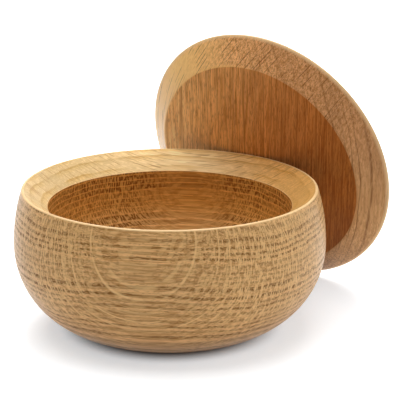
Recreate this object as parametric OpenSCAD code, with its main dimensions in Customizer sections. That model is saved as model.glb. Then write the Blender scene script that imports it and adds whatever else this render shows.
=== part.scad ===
// Turned oak bowl with a loose lid. The lid is off: it stands on its edge behind the bowl and leans on it.
// The origin is the middle of the bowl's base, on the floor.

/* [Bowl] */
// Radius of the flat base
foot_r = 35; // [30:0.5:42]
// Height of the belly, the widest ring of the wall, above the floor
belly_z = 42.5; // [37:0.5:49]
// How far the belly stands out beyond the rim
belly_out = 4.5; // [3:0.25:8]
// Height of the rim above the belly
rim_rise = 27.5; // [22:0.5:34]
// Radius of the rim's outer corner
rim_r = 70.5; // [62:0.5:80]
// Rounding of the rim's outer corner
rim_round = 1; // [0.4:0.1:2]

/* [Hollow] */
// Thickness of the wood under the hollow
floor_t = 11; // [7:0.5:15]
// Radius of the hollow's corner, between its wall and its floor
hollow_round = 40; // [24:0.5:44]
// Rounding of the mouth's edge, where the seat meets the hollow
mouth_round = 0.5; // [0.2:0.1:1]

/* [Seat] */
// Width of the bowl's conical seat, from the rim's corner in to the mouth
seat_w = 12; // [9:0.5:16]
// Slope of the seat, which the lid's band shares
seat_angle = 37.5; // [28:0.5:42]
// Play in radius between the lid's disc and the mouth
plug_play = 2; // [0.4:0.1:3]

/* [Lid] */
// How far the lid's edge stays inside the rim's corner
lid_inset = 1.2; // [0:0.1:2]
// Rounding of the lid's edge
lid_round = 0.8; // [0.4:0.1:1.4]
// Rise of the domed top above the edge
crown_h = 7; // [4:0.5:12]

/* [Lean] */
// Angle of the leaning lid from upright, its top towards the bowl
lean_angle = 17; // [10:0.1:28]
// Direction of the lid from the bowl, turned from straight behind to the right
lean_turn = 34.7; // [0:0.1:70]
// Shift of the lid sideways along the bowl
lean_shift = 4.3; // [-10:0.1:10]
// Gap left between the bowl and the lid that leans on it
lean_gap = 0.3; // [0.1:0.1:0.8]

/* [Hidden] */
$fn = 180;
// A rounding stands this much proud of the two faces that it joins
hair = 0.01;

function along(angle) = [cos(angle), sin(angle)];
function toward(p, q) = (q - p) / norm(q - p);
function micron(x) = round(1000 * x) / 1000;
// Radius of an arc that starts upright and has moved in by run when it has gone up or down by rise
function arc_radius(rise, run) = micron((rise * rise + run * run) / (2 * run));

// Outer wall: one arc from the belly up to the rim, a tighter one from the belly down to the base
bowl_h = belly_z + rim_rise;
belly_r = rim_r + belly_out;
shoulder_arc = arc_radius(rim_rise, belly_out);
shoulder_c = [belly_r - shoulder_arc, belly_z];
heel_arc = arc_radius(belly_z, belly_r - foot_r);
heel_c = [belly_r - heel_arc, belly_z];

// Seat: a cone down from the rim's corner to the mouth
rim = [rim_r, bowl_h];
seat_in = -along(seat_angle);
seat_up = along(seat_angle + 90);
mouth_r = rim_r - seat_w;
mouth_z = bowl_h - seat_w * tan(seat_angle);
// The rim's rounding touches the wall's upper arc and the seat
rim_start = rim - rim_round * seat_up - shoulder_c;
rim_run = rim_start * seat_in;
rim_arc = shoulder_arc - rim_round;
rim_step = -rim_run - sqrt(rim_run * rim_run - rim_start * rim_start + rim_arc * rim_arc);
rim_c = rim - rim_round * seat_up + rim_step * seat_in;
rim_dir = toward(shoulder_c, rim_c);
rim_wall = rim_c + rim_round * rim_dir;
rim_seat = rim_c + rim_round * seat_up;
// The mouth's rounding touches the seat and the hollow's wall
mouth_c = [mouth_r + mouth_round, mouth_z + mouth_round * (tan(seat_angle) - 1 / cos(seat_angle))];
mouth_seat = mouth_c + mouth_round * seat_up;
mouth_wall = [mouth_r, mouth_c.y];

// Hollow: an upright wall with a round corner into a flat floor
hollow_c = [mouth_r - hollow_round, floor_t + hollow_round];

// Lid, measured up from its flat disc: band on the seat's slope, rounded edge, dome
disc_r = mouth_r - plug_play;
edge_r = rim_r - lid_inset - lid_round;
edge_c = [edge_r, (edge_r - disc_r) * tan(seat_angle) + lid_round / cos(seat_angle)];
edge_band = edge_c - lid_round * seat_up;
lid_h = edge_c.y + lid_round + crown_h;
dome_arc = (edge_r * edge_r + crown_h * (crown_h + 2 * lid_round)) / (2 * crown_h);
dome_c = [0, lid_h - dome_arc];
edge_dome = edge_c + lid_round * toward(dome_c, edge_c);

// Lean: the lid's edge stands on the floor, and its disc lies against the bowl's wall or rim
lean_dir = along(lean_angle);
lean_z = edge_c.x * lean_dir.x - edge_c.y * lean_dir.y + lid_round + hair;
wall_reach = shoulder_c * lean_dir + shoulder_arc;
rim_reach = rim_c * lean_dir + rim_round + hair;
bowl_reach = lean_dir.y < rim_dir.y ? wall_reach : rim_reach;
lean_y = (bowl_reach + lean_gap - lean_z * lean_dir.y) / lean_dir.x;

// Rounds off the section's corner between p and q, which is outside on the way from p to q
module eased(centre, radius, p, q) {
    chord = q - p;
    difference() {
        children();
        translate(p) rotate(atan2(chord.y, chord.x)) translate([0, -4 * radius]) square([norm(chord), 4 * radius]);
    }
    translate(centre) circle(radius + hair);
}

// Half section of the bowl's blank, turned outside only
module bowl_blank() {
    intersection() {
        translate(shoulder_c) circle(shoulder_arc);
        translate([0, belly_z]) square([belly_r, rim_rise + rim_round]);
    }
    intersection() {
        union() {
            translate(heel_c) circle(heel_arc);
            translate([0, -belly_z]) square([heel_c.x, 2 * belly_z]);
        }
        square([belly_r, belly_z]);
    }
}

// Half section of what is turned away inside: the space above the seat, and the hollow
module bowl_hollow() {
    seat_end = rim + 2 * seat_w * seat_in;
    seat_start = rim - seat_w * seat_in;
    polygon([seat_end, seat_start, [seat_end.x, seat_start.y]]);
    translate([0, hollow_c.y]) square([mouth_r, bowl_h]);
    translate([0, floor_t]) square([hollow_c.x, bowl_h]);
    intersection() {
        translate(hollow_c) circle(hollow_round);
        translate([hollow_c.x, hollow_c.y - 2 * hollow_round]) square(2 * hollow_round);
    }
}

module bowl() {
    color([0.71, 0.55, 0.37])
    rotate_extrude()
    eased(rim_c, rim_round, rim_wall, rim_seat)
    eased(mouth_c, mouth_round, mouth_seat, mouth_wall)
    difference() {
        bowl_blank();
        bowl_hollow();
    }
}

// Half section of the lid, disc down, with its edge still sharp
module lid_blank() {
    band_end = [disc_r + lid_h / tan(seat_angle), lid_h];
    intersection() {
        translate(dome_c) circle(dome_arc);
        polygon([[0, 0], [disc_r, 0], band_end, [0, lid_h + crown_h]]);
    }
}

module lid() {
    color([0.63, 0.44, 0.25])
    rotate([0, 0, -lean_turn])
    translate([lean_shift, lean_y, lean_z])
    rotate([lean_angle - 90, 0, 0])
    rotate_extrude()
    eased(edge_c, lid_round, edge_band, edge_dome)
    lid_blank();
}

bowl();
lid();
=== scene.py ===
"""Turned oak bowl with its loose lid leaning behind it, on a white studio floor."""

import math

import bpy
import numpy as np
from mathutils import Matrix


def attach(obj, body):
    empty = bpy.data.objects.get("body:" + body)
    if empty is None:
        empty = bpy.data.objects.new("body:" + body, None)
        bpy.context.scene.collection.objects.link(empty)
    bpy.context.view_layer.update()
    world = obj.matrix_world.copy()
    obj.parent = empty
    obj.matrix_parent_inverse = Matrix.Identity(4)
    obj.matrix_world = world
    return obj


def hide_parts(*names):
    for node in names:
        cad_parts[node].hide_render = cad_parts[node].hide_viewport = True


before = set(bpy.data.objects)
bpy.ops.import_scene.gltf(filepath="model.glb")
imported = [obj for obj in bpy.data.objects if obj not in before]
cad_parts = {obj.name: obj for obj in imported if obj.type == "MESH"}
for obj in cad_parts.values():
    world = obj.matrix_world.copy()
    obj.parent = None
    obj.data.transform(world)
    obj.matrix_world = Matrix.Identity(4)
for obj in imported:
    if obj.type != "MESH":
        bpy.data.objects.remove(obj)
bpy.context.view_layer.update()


# BOWL
# One block of oak, turned on a lathe and oiled. The wall is two arcs that meet upright at the belly,
# the rim is eased, and inside it a slanted seat leads down to the mouth of the hollow.
# Sizes are in millimetres up to the mesh, and are those of the part's drawing.
MM = 0.001
FOOT_R = 35.0
BELLY_R, BELLY_Z = 75.0, 42.5
RIM_R, RIM_Z, RIM_ROUND = 70.5, 70.0, 1.0
SEAT_W, SEAT_ANGLE = 12.0, math.radians(37.5)
MOUTH_R, MOUTH_ROUND = RIM_R - SEAT_W, 0.5
FLOOR_T, HOLLOW_ROUND = 11.0, 40.0
# A turned mesh has AROUND points around. Along its profile it has one about every STEP, and on a small
# rounding EASED_POINTS. Edges over SHARP_ANGLE stay sharp.
STEP, EASED_POINTS, AROUND = 1.4, 6, 240
SHARP_ANGLE = math.radians(40)


def arc(centre, radius, start, end):
    """Points (r, z) = centre + radius (cos a, sin a), for a from start to end in radians."""
    a = np.linspace(start, end, max(EASED_POINTS, int(radius * abs(end - start) / STEP)))
    return np.array(centre) + radius * np.stack([np.cos(a), np.sin(a)], 1)


def line(p, q):
    """Points p + t (q - p), for t from 0 to 1."""
    p, q = np.array(p, float), np.array(q, float)
    t = np.linspace(0, 1, max(2, int(np.hypot(*(q - p)) / STEP)))[:, None]
    return p + t * (q - p)


def joined(*runs):
    """The runs one after another, with the point that two neighbours share kept once."""
    same_point = 1e-6
    points = np.concatenate(runs)
    new = np.hypot(*np.diff(points, axis=0).T) > same_point
    return points[np.concatenate([[True], new])]


def turned(name, profile, placed=np.eye(4)):
    """A lathe-turned solid from its half section, which starts and ends on the axis.

    P(s, a) = placed (r(s) cos a, r(s) sin a, z(s)), with a single point at each end of the axis.
    """
    a = np.arange(AROUND) * 2 * np.pi / AROUND
    r, z = profile[1:-1, 0, None], profile[1:-1, 1, None]
    rings = np.stack([r * np.cos(a), r * np.sin(a), z + 0 * a], -1).reshape(-1, 3)
    poles = np.array([[0, 0, profile[0, 1]], [0, 0, profile[-1, 1]]])
    points = np.concatenate([rings, poles]) @ placed[:3, :3].T + placed[:3, 3]

    here = np.arange(AROUND)
    beside = (here + 1) % AROUND
    ring = np.arange(len(r) - 1)[:, None] * AROUND
    above = ring + AROUND
    quads = np.stack([ring + here, ring + beside, above + beside, above + here], -1)
    last = (len(r) - 1) * AROUND
    first_pole, last_pole = len(rings), len(rings) + 1
    low = np.stack([np.full(AROUND, first_pole), beside, here], 1)
    high = np.stack([np.full(AROUND, last_pole), last + here, last + beside], 1)
    faces = [*quads.reshape(-1, 4).tolist(), *low.tolist(), *high.tolist()]

    mesh = bpy.data.meshes.new(name)
    mesh.from_pydata((points * MM).tolist(), [], faces)
    mesh.polygons.foreach_set("use_smooth", np.ones(len(mesh.polygons), bool))
    mesh.set_sharp_from_angle(angle=SHARP_ANGLE)
    piece = bpy.data.objects.new(name, mesh)
    bpy.context.collection.objects.link(piece)
    return piece


def mark(piece, zone, on_profile):
    """Stores which points of the profile lie in a zone, as an attribute of the turned piece, 1 or 0."""
    spread = np.concatenate([np.repeat(on_profile[1:-1], AROUND), [on_profile[0], on_profile[-1]]])
    values = piece.data.attributes.new(zone, "FLOAT", "POINT").data
    values.foreach_set("value", spread.astype(np.float32))


class Shading:
    """Adds nodes to a shader tree. Each value handed in is a number, a tuple or another node's output."""

    def __init__(self, tree):
        self.tree = tree

    def feed(self, node, inputs):
        """Sets or links the inputs of a node."""
        for key, value in inputs.items():
            if isinstance(value, bpy.types.NodeSocket):
                self.tree.links.new(value, node.inputs[key])
            else:
                node.inputs[key].default_value = value

    def node(self, kind, inputs, **settings):
        """A new node."""
        node = self.tree.nodes.new("ShaderNode" + kind)
        for key, value in settings.items():
            setattr(node, key, value)
        self.feed(node, inputs)
        return node

    def add(self, kind, inputs, out=0, **settings):
        """One output of a new node."""
        return self.node(kind, inputs, **settings).outputs[out]

    def maths(self, operation, *values):
        """The result of one Math node."""
        return self.add("Math", dict(enumerate(values)), operation=operation)

    def times(self, first, *others):
        """The product of the values."""
        for value in others:
            first = self.maths("MULTIPLY", first, value)
        return first

    def most(self, first, *others):
        """The largest of the values."""
        for value in others:
            first = self.maths("MAXIMUM", first, value)
        return first

    def rest(self, value):
        """What the value leaves of 1."""
        return self.maths("SUBTRACT", 1.0, value)

    def eased(self, value, start, end, low=0.0, high=1.0):
        """From low, where the value is at start, to high, where it is at end, levelling off at both."""
        return self.add(
            "MapRange",
            {"Value": value, "From Min": start, "From Max": end, "To Min": low, "To Max": high},
            interpolation_type="SMOOTHSTEP",
        )

    def along(self, vector, way):
        """How far the vector goes along a direction."""
        return self.add("VectorMath", {0: vector, 1: tuple(way)}, out="Value", operation="DOT_PRODUCT")

    def shaded(self, colour, amount):
        """The colour times the amount."""
        return self.add("VectorMath", {0: colour, "Scale": amount}, operation="SCALE")

    def mixed(self, share, first, second, blend="MIX"):
        """The first colour, changed by that share to the second or, with MULTIPLY, to their product."""
        # The node has sockets for other kinds of value too. These are the ones for colours.
        first_colour, second_colour, mixed_colour = 6, 7, 2
        first, second = ((*value, 1) if isinstance(value, tuple) else value for value in (first, second))
        return self.add(
            "Mix",
            {0: share, first_colour: first, second_colour: second},
            out=mixed_colour,
            data_type="RGBA",
            blend_type=blend,
        )


class Oak(Shading):
    """Shading of solid oak, patterned in the log's own frame, so that each cut shows the grain it would.

    The rows of log are three directions in the block: u along the fibre, v across and w up. Growth rings
    are level, but from v = pith[0] down they bend up round a pith at the height w = pith[1], and the rays
    turn with them. So the grain of a point is (u, s, d) in mm, with d its distance from that pith and s
    the way across the rays, as an arc at the distance pith[2]. A pattern in cells of size (a, b, c) is a
    texture of (u / a, s / b, d / c), and its other numbers, from 0 to 1, are the levels at which it
    starts and is full.

    The mesh says which zone a point is in: seat, hollow (or the lid's disc), band or worn_and_highlight,
    the eased edges, whose pale tone is partly wear and partly a painted highlight. A zone that a piece
    lacks reads as 0. How the wood is cut at a point is in end, which is 1 on a cut across the fibre, and in
    level, which is 1 on a cut level with the rings.
    """

    def __init__(self, tree, log, pith, seed):
        super().__init__(tree)
        self.seed = seed
        self.zones = {
            zone: self.add("Attribute", {}, out="Fac", attribute_name=zone)
            for zone in ("seat", "hollow", "band", "worn_and_highlight")
        }
        self.place = self.add("TexCoord", {}, out="Object")
        turn = Matrix(log.tolist()).to_euler()
        to_mm = (1 / MM, 1 / MM, 1 / MM)
        in_log = self.add("Mapping", {"Vector": self.place, "Rotation": turn, "Scale": to_mm})
        u, self.v, w = self.node("SeparateXYZ", {0: in_log}).outputs

        pith_v, pith_w, ray_arc = pith
        beside = self.maths("SUBTRACT", self.v, pith_v)
        below = self.maths("SUBTRACT", pith_w, w)
        bent = self.maths("MINIMUM", beside, 0.0)
        straight = self.maths("MAXIMUM", beside, 0.0)
        self.rings = self.maths("SQRT", self.maths("MULTIPLY_ADD", bent, bent, self.times(below, below)))
        self.across = self.maths("MULTIPLY_ADD", self.maths("ARCTAN2", bent, below), ray_arc, straight)
        self.grain = self.add("CombineXYZ", {0: u, 1: self.across, 2: self.rings})

        facing = self.add("TexCoord", {}, out="Normal")
        self.end = self.maths("ABSOLUTE", self.along(facing, log[0]))
        self.level = self.maths("ABSOLUTE", self.along(facing, log[2]))

    def zoned(self, outer, inner):
        """The first value outside, the second one in the hollow."""
        return self.eased(self.zones["hollow"], 0.0, 1.0, outer, inner)

    def by_cut(self, outer, inner):
        """A pair of values for cuts along and across the fibre outside, and another for those inside."""
        return self.zoned(self.eased(self.end, 0.15, 0.5, *outer), self.eased(self.end, 0.15, 0.5, *inner))

    def cloud(self, size, shift, detail=2.0):
        """Soft noise in cells of that size. Each shift gives a pattern of its own."""
        cells = tuple(1 / length for length in size)
        moved = (self.seed + shift, 1.7 * shift, 0.6 * shift)
        at = self.add("VectorMath", {0: self.grain, 1: cells, 2: moved}, operation="MULTIPLY_ADD")
        return self.add("TexNoise", {"Vector": at, "Scale": 1.0, "Detail": detail})

    def patches(self, size, shift, start, full, detail=2.0):
        """Patches of such noise, 0 where it is under start and 1 where it is over full."""
        return self.eased(self.cloud(size, shift, detail), start, full)

    def swayed(self, value, size, shift, amount):
        """The value plus such noise times the amount."""
        return self.maths("MULTIPLY_ADD", self.cloud(size, shift), amount, value)


def growth_rings(wood, ring, thins, gone, poor):
    """Layers about as thick as ring that sway a little.

    Gives the season, from 0 to 1 in each year, the year's luck, by chance from 0 to 1, and the early wood,
    which is full of vessels.
    """
    depth = wood.swayed(wood.swayed(wood.rings, (75, 32, 32), 1, 5.0), (18, 6, 6), 2, 1.4)
    slowly = {"W": wood.maths("DIVIDE", depth, 12.0), "Scale": 1.0, "Detail": 0.0}
    pace = wood.add("TexNoise", slowly, noise_dimensions="1D")
    years = wood.maths("MULTIPLY_ADD", pace, 2.2, wood.maths("DIVIDE", depth, ring))
    season = wood.maths("FRACT", years)
    luck = wood.add("TexWhiteNoise", {"W": wood.maths("FLOOR", years)}, noise_dimensions="1D")
    early = wood.times(
        wood.eased(season, 0.0, 0.12),
        wood.eased(season, wood.zoned(*gone), wood.zoned(*thins)),
        wood.eased(luck, 0.0, 0.8, poor, 1.0),
    )
    return season, luck, early


def broad_rays(wood, sheets):
    """Short broad rays, by chance about 2 mm apart, and sheets that run on through the whole block."""
    swerve = wood.swayed(wood.maths("ADD", wood.across, -0.5), (60, 40, 40), 6, 1.0)
    slices = {"W": wood.maths("DIVIDE", swerve, 2.3), "Scale": 1.0}
    middles = wood.node("TexVoronoi", slices, voronoi_dimensions="1D").outputs
    chance = wood.add("SeparateColor", {0: middles["Color"]})
    short = wood.times(
        wood.eased(middles["Distance"], 0.12, 0.04),
        wood.eased(chance, 0.2, 0.9),
        wood.patches((11, 5, 9), 9, 0.40, 0.54),
    )
    from_sheets = [wood.maths("ABSOLUTE", wood.maths("SUBTRACT", swerve, at)) for at in sheets]
    long = wood.times(
        wood.most(0.0, *(wood.eased(away, 0.24, 0.08) for away in from_sheets)),
        wood.patches((16, 9, 9), 10, 0.36, 0.54),
        wood.eased(wood.cloud((4, 2, 2), 12), 0.3, 0.6, 0.5, 1.0),
    )
    return short, long


def open_pores(wood, grain, early, rays):
    """Vessels: long thin tubes in rows in the early wood, or single ones as dots, which the rays part."""
    length = grain["vessel"]
    tubes = wood.patches((length, 0.54, 0.42), 3, 0.43, 0.55, 1.0)
    gaps = wood.times(wood.rest(tubes), wood.by_cut(*grain["gaps"]))
    rows = wood.times(early, wood.rest(gaps), wood.by_cut(*grain["rows"]))
    dots = wood.times(
        wood.patches((0.4 * length, 0.45, 0.45), 4, 0.52, 0.64, 1.0),
        wood.zoned(*grain["dots"]),
        wood.eased(wood.end, 0.3, 0.8, 1.0, grain["end_dots"]),
        wood.eased(wood.level, 0.35, 0.7, 1.0, grain["level_dots"]),
    )
    parted = wood.times(
        rays,
        wood.eased(wood.end, 0.2, 0.6, 0.4 * grain["rays"], 0.9 * grain["rays"]),
        wood.zoned(1.0, grain["inner_rays"]),
    )
    cut = wood.eased(wood.end, 0.1, 0.7, grain["side_pores"], 1.0)
    return wood.times(wood.most(rows, dots), wood.rest(parted), cut)


def oiled_oak(name, log, pith, seed, colours, painted_light, grain):
    """A material of oak with an oiled surface.

    Colours are linear red, green and blue. Each entry of painted_light is painted light or shade, a slow
    change of tone over a zone: the zone, the tint where it starts, the one where it ends, its direction,
    and its start and end along that in mm. The values of grain are told beside the bowl's.
    """
    material = bpy.data.materials.new(name)
    material.use_nodes = True
    wood = Oak(material.node_tree, log, pith, seed)
    seat, inside, band, worn_and_highlight = wood.zones.values()
    years = (grain[key] for key in ("ring", "thins", "gone", "poor"))
    season, luck, early = growth_rings(wood, *years)
    short_rays, long_rays = broad_rays(wood, grain["sheets"])
    coarse_rays = wood.patches((14, 0.50, 3.6), 5, 0.50, 0.58, 1.0)
    fine_rays = wood.patches((14, 0.32, 2.2), 15, 0.46, 0.56, 0.0)
    rays = wood.zoned(coarse_rays, fine_rays)

    # The lid's band is smooth where it is cut level with the rings, and there its colour is a pale painted
    # sheen. On the seat pores hardly show.
    smooth_and_sheen = wood.times(band, wood.eased(wood.level, 0.77, 0.94, 0.0, 0.85))
    pores = open_pores(wood, grain, early, rays)
    pores = wood.times(pores, wood.rest(smooth_and_sheen), wood.rest(wood.times(seat, 0.8)))

    # Cut across the fibre, rays are pale lines. Cut level with the rings, they are dark hairs.
    flat_cut = wood.eased(wood.level, 0.35, 0.65)
    pale = wood.most(wood.rest(flat_cut), wood.times(inside, wood.eased(wood.end, 0.3, 0.6)))
    sheen = wood.most(
        wood.times(rays, wood.eased(wood.end, 0.2, 0.7, 0.15 * grain["rays"], 0.6 * grain["rays"])),
        wood.times(short_rays, 0.5),
        wood.times(long_rays, 0.85),
    )
    hairs = wood.times(short_rays, wood.zoned(wood.times(flat_cut, grain["hairs"]), 0.35))

    # The ground is late wood with deep streaks, a little different from year to year and place to place.
    streaks = wood.cloud(grain["streak"], 7, 3.0)
    clouds = wood.cloud((60, 20, 20), 8)
    calm = wood.most(
        wood.times(wood.rest(inside), wood.eased(wood.end, 0.2, 0.5, grain["calm"], 0.0)),
        wood.times(seat, 0.6),
    )
    colour = wood.mixed(wood.most(wood.eased(streaks, 0.30, 0.66), calm), colours["deep"], colours["late"])
    colour = wood.shaded(colour, wood.maths("MULTIPLY_ADD", luck, 0.10, 0.95))
    colour = wood.shaded(colour, wood.eased(clouds, 0.3, 0.7, 0.95, 1.05))
    # Painted shade with some of the wood's own tone: the lid darkens steadily along v.
    if "painted_light_slope" in grain:
        middle, per_mm, palest = grain["painted_light_slope"]
        sloped_light = wood.maths("MULTIPLY_ADD", wood.maths("SUBTRACT", wood.v, middle), per_mm, 1.0)
        colour = wood.shaded(colour, wood.maths("MINIMUM", sloped_light, palest))

    # Over it come pores and pale rays, what only the seat or the band has, the painted light and shade,
    # hairs, and the pale eased edges, partly wear and partly a painted highlight.
    colour = wood.mixed(pores, colour, colours["pore"])
    colour = wood.mixed(wood.times(sheen, pale), colour, colours["ray"])
    if "golden" in colours:
        # The seat has golden early wood, a browner line where a year begins, and short dark hairs.
        golden = wood.times(seat, early, wood.eased(clouds, 0.4, 0.6))
        colour = wood.mixed(golden, colour, colours["golden"], "MULTIPLY")
        begins = wood.times(wood.eased(season, 0.0, 0.08), wood.eased(season, 0.32, 0.12))
        begins = wood.times(seat, begins, wood.eased(clouds, 0.36, 0.56))
        colour = wood.mixed(begins, colour, colours["year_line"], "MULTIPLY")
        short_hairs = wood.patches((10, 0.45, 8), 13, 0.60, 0.68, 0.0)
        here_and_there = wood.patches((16, 5, 7), 14, 0.34, 0.52)
        hairs = wood.most(hairs, wood.times(seat, short_hairs, here_and_there, 0.72))
    # Painted sheen: the band is paler where it is cut level with the rings.
    if "smooth_and_sheen" in colours:
        sheen_colour = wood.shaded(colours["smooth_and_sheen"], wood.eased(streaks, 0.25, 0.75, 0.93, 1.05))
        colour = wood.mixed(smooth_and_sheen, colour, sheen_colour)
    # Painted light and shade: each entry tints its zone along a direction.
    for zone, first_tint, last_tint, way, first, last in painted_light:
        how_far = wood.eased(wood.along(wood.place, way), first * MM, last * MM)
        tint = wood.mixed(how_far, first_tint, last_tint)
        colour = wood.mixed(wood.zones[zone], colour, tint, "MULTIPLY")
    colour = wood.mixed(hairs, colour, colours["hair"])
    # The eased edges turn pale: partly wear, partly a painted highlight.
    colour = wood.mixed(wood.times(worn_and_highlight, 0.8), colour, colours["worn_and_highlight"])
    palest_wood = (0.97, 0.97, 0.97)
    colour = wood.add("VectorMath", {0: colour, 1: palest_wood}, operation="MINIMUM")

    # The oil gives a soft shine. Pores are duller, and a little sunken.
    oiled, smooth_oiled, pore_dullness = 0.32, 0.18, 0.25
    dullness = wood.maths("MULTIPLY_ADD", smooth_and_sheen, smooth_oiled - oiled, oiled)
    dullness = wood.maths("MULTIPLY_ADD", pores, pore_dullness, dullness)
    height = wood.maths("MULTIPLY_ADD", streaks, 0.25, wood.times(pores, -0.8))
    relief = wood.add("Bump", {"Strength": 0.2, "Distance": 0.3 * MM, "Height": height})
    shader = material.node_tree.nodes["Principled BSDF"]
    wood.feed(shader, {"Base Color": colour, "Roughness": dullness, "Normal": relief, "IOR": 1.25})
    return material


def upright_arc(rise, run):
    """Radius of an arc that starts upright and has moved in by run when it has gone up or down by rise."""
    return (rise**2 + run**2) / (2 * run)


shoulder = upright_arc(RIM_Z - BELLY_Z, BELLY_R - RIM_R)
shoulder_c = np.array([BELLY_R - shoulder, BELLY_Z])
heel = upright_arc(BELLY_Z, BELLY_R - FOOT_R)
heel_c = np.array([BELLY_R - heel, BELLY_Z])
seat_in = -np.array([math.cos(SEAT_ANGLE), math.sin(SEAT_ANGLE)])
seat_up = np.array([-math.sin(SEAT_ANGLE), math.cos(SEAT_ANGLE)])
# The middle of the rim's rounding is RIM_ROUND below the seat and inside the shoulder's arc.
under_rim = np.array([RIM_R, RIM_Z]) - RIM_ROUND * seat_up
from_c = under_rim - shoulder_c
run_in = from_c @ seat_in
step_in = -run_in - math.sqrt(run_in**2 - from_c @ from_c + (shoulder - RIM_ROUND) ** 2)
rim_c = under_rim + step_in * seat_in
rim_lean = math.atan2(*(rim_c - shoulder_c)[::-1])
mouth_z = RIM_Z - SEAT_W * math.tan(SEAT_ANGLE)
mouth_drop = MOUTH_ROUND * (1 / math.cos(SEAT_ANGLE) - math.tan(SEAT_ANGLE))
mouth_c = np.array([MOUTH_R + MOUTH_ROUND, mouth_z - mouth_drop])
hollow_c = np.array([MOUTH_R - HOLLOW_ROUND, FLOOR_T + HOLLOW_ROUND])

outside_run = joined(
    line((0, 0), (FOOT_R, 0)),
    arc(heel_c, heel, math.atan2(-BELLY_Z, FOOT_R - heel_c[0]), 0),
    arc(shoulder_c, shoulder, 0, rim_lean),
    arc(rim_c, RIM_ROUND, rim_lean, math.pi / 2 + SEAT_ANGLE),
)
seat_run = joined(
    line(rim_c + RIM_ROUND * seat_up, mouth_c + MOUTH_ROUND * seat_up),
    arc(mouth_c, MOUTH_ROUND, math.pi / 2 + SEAT_ANGLE, math.pi),
)
hollow_run = joined(
    line((MOUTH_R, mouth_c[1]), (MOUTH_R, hollow_c[1])),
    arc(hollow_c, HOLLOW_ROUND, 0, -math.pi / 2),
    line((hollow_c[0], FLOOR_T), (0, FLOOR_T)),
)
bowl_profile = joined(outside_run, seat_run, hollow_run)
bowl = turned("Bowl", bowl_profile)

# The roundings of the rim and the mouth end at these points of the profile. The hollow's zone starts one
# point before the end of the mouth's.
point = np.arange(len(bowl_profile))
rim_end = len(outside_run) - 1
mouth_end = rim_end + len(seat_run) - 1
hollow_start = mouth_end - 1
rounding = EASED_POINTS - 1
rim_eased = (point > rim_end - rounding) & (point < rim_end)
mouth_eased = (point > mouth_end - rounding) & (point < hollow_start)
mark(bowl, "seat", (point >= rim_end) & (point < hollow_start))
mark(bowl, "hollow", point >= hollow_start)
# Partly wear, partly a painted highlight: the roundings of the rim and the mouth turn pale.
mark(bowl, "worn_and_highlight", rim_eased | mouth_eased)

# The fibre runs from side to side, turned a little, and the pith was high above the bowl's front.
bowl_turn = math.radians(10.3)
bowl_log = np.array([
    [math.cos(bowl_turn), -math.sin(bowl_turn), 0],
    [math.sin(bowl_turn), math.cos(bowl_turn), 0],
    [0, 0, 1],
])
bowl_pith = (-45, 155, 105)
bowl_colours = {
    "late": (0.822, 0.492, 0.208),
    "deep": (0.53, 0.27, 0.085),
    "pore": (0.235, 0.100, 0.024),
    "hair": (0.42, 0.200, 0.046),
    "ray": (0.88, 0.57, 0.25),
    # Tone of the eased edges, partly wear and partly a painted highlight
    "worn_and_highlight": (0.95, 0.66, 0.33),
    # These two are multiplied over the seat's wood.
    "golden": (1.01, 0.94, 0.72),
    "year_line": (0.85, 0.77, 0.60),
}
# Painted light and shade. The seat is darker and more orange to the right, painted shade and bounce from
# the lid, and paler at the back, painted light where the lid shades it. The hollow is browner high on its
# wall, painted shade, and paler on its floor, a painted reflection.
bowl_painted_light = [
    ("seat", (0.935, 1.15, 1.34), (0.85, 0.825, 0.655), (1, 0, 0), 5, 62),
    ("seat", (1, 1, 1), (1.40, 1.40, 1.40), (0.5, 0.87, 0), 5, 65),
    ("hollow", (0.945, 0.82, 0.50), (1.07, 1.08, 0.99), (0, 0, -1), -46, -30),
]
bowl_grain = {
    # Width of a growth ring, length of a vessel and cell of a streak, in mm
    "ring": 2.9,
    "vessel": 5.5,
    "streak": (30, 0.9, 0.8),
    # Shares of a year at which its vessels start to thin and are gone, each outside and inside
    "thins": (0.33, 0.70),
    "gone": (0.66, 0.95),
    # Share of its vessels that the poorest year has
    "poor": 0.45,
    # Gaps between vessels and strength of their rows, cut along and across the fibre, outside and inside
    "gaps": ((0.62, 0.62), (0.217, 0.217)),
    "rows": ((1.36, 1.36), (0.82, 1.56)),
    # Strength of single vessels outside and inside, and what multiplies it on a cut across the fibre and
    # on one level with the rings
    "dots": (0.58, 0.42),
    "end_dots": 0.5,
    "level_dots": 0.2,
    # What is left of all pores cut along the fibre
    "side_pores": 0.75,
    # Strength of the rays, and what is left of it inside where they part the vessels
    "rays": 1.0,
    "inner_rays": 0.62,
    # Strength of the dark hairs outside, cut level with the rings
    "hairs": 0.15,
    # How far the streaks are gone outside, cut along the fibre
    "calm": 0.0,
    # Places of the sheets that run on, in mm across the rays
    "sheets": (-26.3, -21.8, -19.2, -16.4, -12.8),
}
bowl_oak = oiled_oak("Bowl_oiled_oak", bowl_log, bowl_pith, 14.0, bowl_colours, bowl_painted_light, bowl_grain)
bowl.data.materials.append(bowl_oak)
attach(bowl, "bowl")
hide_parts("bowl")


# LID
# A second piece of oak, turned as a plug: a flat disc, a band that lies on the seat, a thin eased edge
# and a low dome. It is off the bowl, standing on its edge behind it and leaning on its wall.
PLUG_PLAY, LID_INSET = 2.0, 1.2
DISC_R = MOUTH_R - PLUG_PLAY
EDGE_ROUND = 0.8
EDGE_R = RIM_R - LID_INSET - EDGE_ROUND
CROWN_H = 7.0
LEAN, LEAN_TURN = math.radians(17), math.radians(34.7)
LEAN_SHIFT, LEAN_GAP = 4.3, 0.3
# The disc's zone ends this close to its edge.
ZONE_GAP = 0.05

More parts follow.
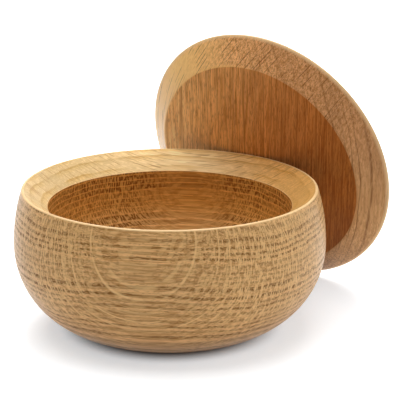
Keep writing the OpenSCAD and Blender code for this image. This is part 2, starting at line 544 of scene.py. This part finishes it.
edge_c = np.array([EDGE_R, (EDGE_R - DISC_R) * math.tan(SEAT_ANGLE) + EDGE_ROUND / math.cos(SEAT_ANGLE)])
lid_h = edge_c[1] + EDGE_ROUND + CROWN_H
dome = (EDGE_R**2 + CROWN_H * (CROWN_H + 2 * EDGE_ROUND)) / (2 * CROWN_H)
dome_c = np.array([0, lid_h - dome])
dome_end = math.atan2(*(edge_c - dome_c)[::-1])
lid_profile = joined(
    line((0, 0), (DISC_R - ZONE_GAP, 0)),
    line((DISC_R - ZONE_GAP, 0), (DISC_R, 0)),
    line((DISC_R, 0), edge_c - EDGE_ROUND * seat_up),
    arc(edge_c, EDGE_ROUND, SEAT_ANGLE - math.pi / 2, dome_end),
    arc(dome_c, dome, dome_end, math.pi / 2),
)

# The disc's face is square to lid_axis, which points up and away from the bowl it leans on.
back = np.array([math.sin(LEAN_TURN), math.cos(LEAN_TURN), 0])
side = np.array([math.cos(LEAN_TURN), -math.sin(LEAN_TURN), 0])
up = np.array([0, 0, 1.0])
lid_axis = math.cos(LEAN) * back + math.sin(LEAN) * up
lid_up = math.cos(LEAN) * up - math.sin(LEAN) * back
stand = EDGE_R * math.cos(LEAN) - edge_c[1] * math.sin(LEAN) + EDGE_ROUND
reach = shoulder_c @ [math.cos(LEAN), math.sin(LEAN)] + shoulder + LEAN_GAP
away = (reach - stand * math.sin(LEAN)) / math.cos(LEAN)
lid_middle = LEAN_SHIFT * side + away * back + stand * up
leaning = np.eye(4)
leaning[:3, :3] = np.stack([side, -lid_up, lid_axis], 1)
leaning[:3, 3] = lid_middle
lid = turned("Lid", lid_profile, leaning)

lid_r, lid_z = lid_profile.T
below_edge = lid_z < edge_c[1]
on_disc = below_edge & (lid_r < DISC_R - ZONE_GAP / 2)
mark(lid, "hollow", on_disc)
mark(lid, "band", below_edge & ~on_disc)
# Partly wear, partly a painted highlight: the lid's eased edge turns pale.
mark(lid, "worn_and_highlight", lid_r > EDGE_R)

# The fibre runs up the leaning disc, turned a little, and the rings lie aslant in it. Their pith is so far
# off that they hardly bend.
lid_turn, ring_slant = math.radians(10.5), math.radians(28)
fibre = math.cos(lid_turn) * lid_up + math.sin(lid_turn) * side
cross = math.cos(lid_turn) * side - math.sin(lid_turn) * lid_up
lid_log = np.array([
    fibre,
    math.cos(ring_slant) * cross - math.sin(ring_slant) * lid_axis,
    math.sin(ring_slant) * cross + math.cos(ring_slant) * lid_axis,
])
lid_pith = (0, 300, 300)
lid_colours = {
    "late": (0.865, 0.478, 0.195),
    "deep": (0.56, 0.262, 0.078),
    "pore": (0.19, 0.068, 0.015),
    "hair": (0.15, 0.050, 0.010),
    "ray": (0.70, 0.40, 0.155),
    # Tone of the eased edge, partly wear and partly a painted highlight
    "worn_and_highlight": (0.88, 0.61, 0.32),
    # The band where it is cut level with the rings, a pale painted sheen
    "smooth_and_sheen": (0.93, 0.58, 0.195),
}
# Painted light and shade. The disc is paler to the left, where light falls on it, and darker to the right,
# in the bowl's shade. The band is a little darker at its upper right, painted shade.
leftward = 0.1 * lid_up - side
upper_right = (side + lid_up) / math.sqrt(2)
left_middle, right_middle = lid_middle @ leftward, lid_middle @ upper_right
lid_painted_light = [
    ("hollow", (0.80, 0.52, 0.28), (1.14, 1.33, 1.35), leftward, left_middle - 60, left_middle + 80),
    ("band", (1.06, 1.05, 1.06), (0.95, 0.88, 0.91), upper_right, right_middle + 30, right_middle + 65),
]
lid_grain = {
    "ring": 3.7,
    "vessel": 9.0,
    "streak": (18, 1.0, 0.9),
    "thins": (0.15, 0.15),
    "gone": (0.30, 0.30),
    "poor": 0.6,
    "gaps": ((0.25, 0.9), (0.15, 0.54)),
    "rows": ((1.0, 0.7), (0.4, 0.28)),
    "dots": (0.32, 0.44),
    "end_dots": 2.4,
    "level_dots": 1.0,
    "side_pores": 1.0,
    "rays": 0.3,
    "inner_rays": 0.55,
    "hairs": 1.0,
    "calm": 0.5,
    "sheets": (),
    # The wood darkens along v, to the right, partly its own tone and partly painted shade: place of the
    # lid's middle in mm, change of tone per mm, and palest tone
    "painted_light_slope": (lid_middle @ lid_log[1], -0.0045, 1.15),
}
lid_oak = oiled_oak("Lid_oiled_oak", lid_log, lid_pith, 47.0, lid_colours, lid_painted_light, lid_grain)
lid.data.materials.append(lid_oak)
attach(lid, "lid")
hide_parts("lid")


# STUDIO
# A white paper floor that runs on to the horizon, a room of soft white light that is dim at the back left,
# a large soft lamp overhead, one behind, and a weak one on the right. The paper's own glow is seen but
# lights nothing. It is gone in a ring under the bowl, so the real shadow there stays dark and the ring
# is painted darker than the floor round it. Sizes are in metres.
FLOOR_REACH = 8.0
PAPER_TONE, GLOW_TONE = (0.85, 0.85, 0.85, 1), (0.94, 1.0, 1.05, 1)
WHITE = (1, 1, 1, 1)
# Distances from the bowl's axis over which the glow grows, and by how much it does. Nearer than
# NEAR_GLOW_START the paper has no glow, a painted shadow under the bowl.
NEAR_GLOW_START, NEAR_GLOW_END, NEAR_GLOW = 0.040, 0.056, 0.55
FAR_GLOW_START, FAR_GLOW_END, FAR_GLOW = 0.6, 2.0, 0.45
# Light of the room, and how far towards the back left it starts to fade and is gone, as a cosine
ROOM_LIGHT, BACK_LEFT = 0.235, (-0.8, 0.6, 0)
DIM_START, DIM_END = -0.1, 0.6
LAMPS_AIM = (0, 0, 0.05)


def looked_at(shading):
    """1 for a ray from the camera or one that a shine or a clear thing sends on, 0 for falling light."""
    path = shading.node("LightPath", {}).outputs
    return shading.most(path["Is Camera Ray"], path["Is Glossy Ray"], path["Is Transmission Ray"])


floor_mesh = bpy.data.meshes.new("Studio_floor")
corners = [(x * FLOOR_REACH, y * FLOOR_REACH, 0) for x, y in ((-1, -1), (1, -1), (1, 1), (-1, 1))]
floor_mesh.from_pydata(corners, [], [(0, 1, 2, 3)])
floor = bpy.data.objects.new("Studio_floor", floor_mesh)
bpy.context.collection.objects.link(floor)
paper = bpy.data.materials.new("Studio_paper")
paper.use_nodes = True
matt = paper.node_tree.nodes["Principled BSDF"]
matt.inputs["Base Color"].default_value = PAPER_TONE
matt.inputs["Roughness"].default_value = 0.9
matt.inputs["Specular IOR Level"].default_value = 0.0
sheet = Shading(paper.node_tree)
from_axis = sheet.add(
    "VectorMath", {0: sheet.add("TexCoord", {}, out="Object")}, out="Value", operation="LENGTH"
)
# Painted shadow: no glow near the bowl's axis, a darker ring on the floor under the bowl.
glow_past_painted_shadow = sheet.eased(from_axis, NEAR_GLOW_START, NEAR_GLOW_END, 0.0, NEAR_GLOW)
far_glow = sheet.add(
    "MapRange",
    {"Value": from_axis, "From Min": FAR_GLOW_START, "From Max": FAR_GLOW_END, "To Max": FAR_GLOW},
)
glow_seen = sheet.times(looked_at(sheet), sheet.maths("ADD", glow_past_painted_shadow, far_glow))
glow = sheet.add("Emission", {"Color": GLOW_TONE, "Strength": glow_seen})
glowing_paper = sheet.add("AddShader", {0: matt.outputs[0], 1: glow})
sheet.feed(paper.node_tree.nodes["Material Output"], {"Surface": glowing_paper})
floor_mesh.materials.append(paper)

world = bpy.data.worlds.new("Studio_room")
bpy.context.scene.world = world
world.use_nodes = True
room = Shading(world.node_tree)
towards_back_left = room.along(room.add("TexCoord", {}, out="Generated"), BACK_LEFT)
room_light = room.eased(towards_back_left, DIM_START, DIM_END, ROOM_LIGHT, 0.0)
soft = world.node_tree.nodes["Background"]
room.feed(soft, {"Color": WHITE, "Strength": room_light})
white = room.add("Background", {"Color": WHITE, "Strength": 1.0})
lit_room = room.add("MixShader", {0: looked_at(room), 1: soft.outputs[0], 2: white})
room.feed(world.node_tree.nodes["World Output"], {"Surface": lit_room})


def softbox(name, place, size, power):
    """A square lamp of that size at place, facing the bowl, with its power in watts."""
    light = bpy.data.lights.new(name, "AREA")
    light.size = size
    light.energy = power
    lamp = bpy.data.objects.new(name, light)
    bpy.context.collection.objects.link(lamp)
    z = np.array(place, float) - LAMPS_AIM
    z /= np.linalg.norm(z)
    x = np.cross([0, 1, 0], z)
    x /= np.linalg.norm(x)
    facing = np.eye(4)
    facing[:3, :3] = np.stack([x, np.cross(z, x), z], 1)
    facing[:3, 3] = place
    lamp.matrix_world = Matrix(facing.tolist())


softbox("Studio_top", place=(-0.14, 0.05, 1.5), size=1.4, power=20.2)
softbox("Studio_back", place=(0.1, 1.0, 1.2), size=1.0, power=15.5)
softbox("Studio_right", place=(1.5, -0.2, 0.6), size=0.8, power=3.5)


# CAMERA
# A long lens in front of the bowl and above it, looking down a little. From there the edges of the bowl
# and the lid fall about where the photograph has them.
LOOK_DOWN, LOOK_RIGHT = math.radians(16.485), math.radians(0.961)
lens = bpy.data.cameras.new("Camera")
lens.lens = 168.515
lens.sensor_width = 36.0
lens.clip_end = 50.0
camera = bpy.data.objects.new("Camera", lens)
bpy.context.collection.objects.link(camera)
camera.location = (0.0, -0.85994, 0.31698)
camera.rotation_euler = (math.pi / 2 - LOOK_DOWN, 0, -LOOK_RIGHT)
bpy.context.scene.camera = camera
bpy.context.scene.view_settings.view_transform = "Standard"
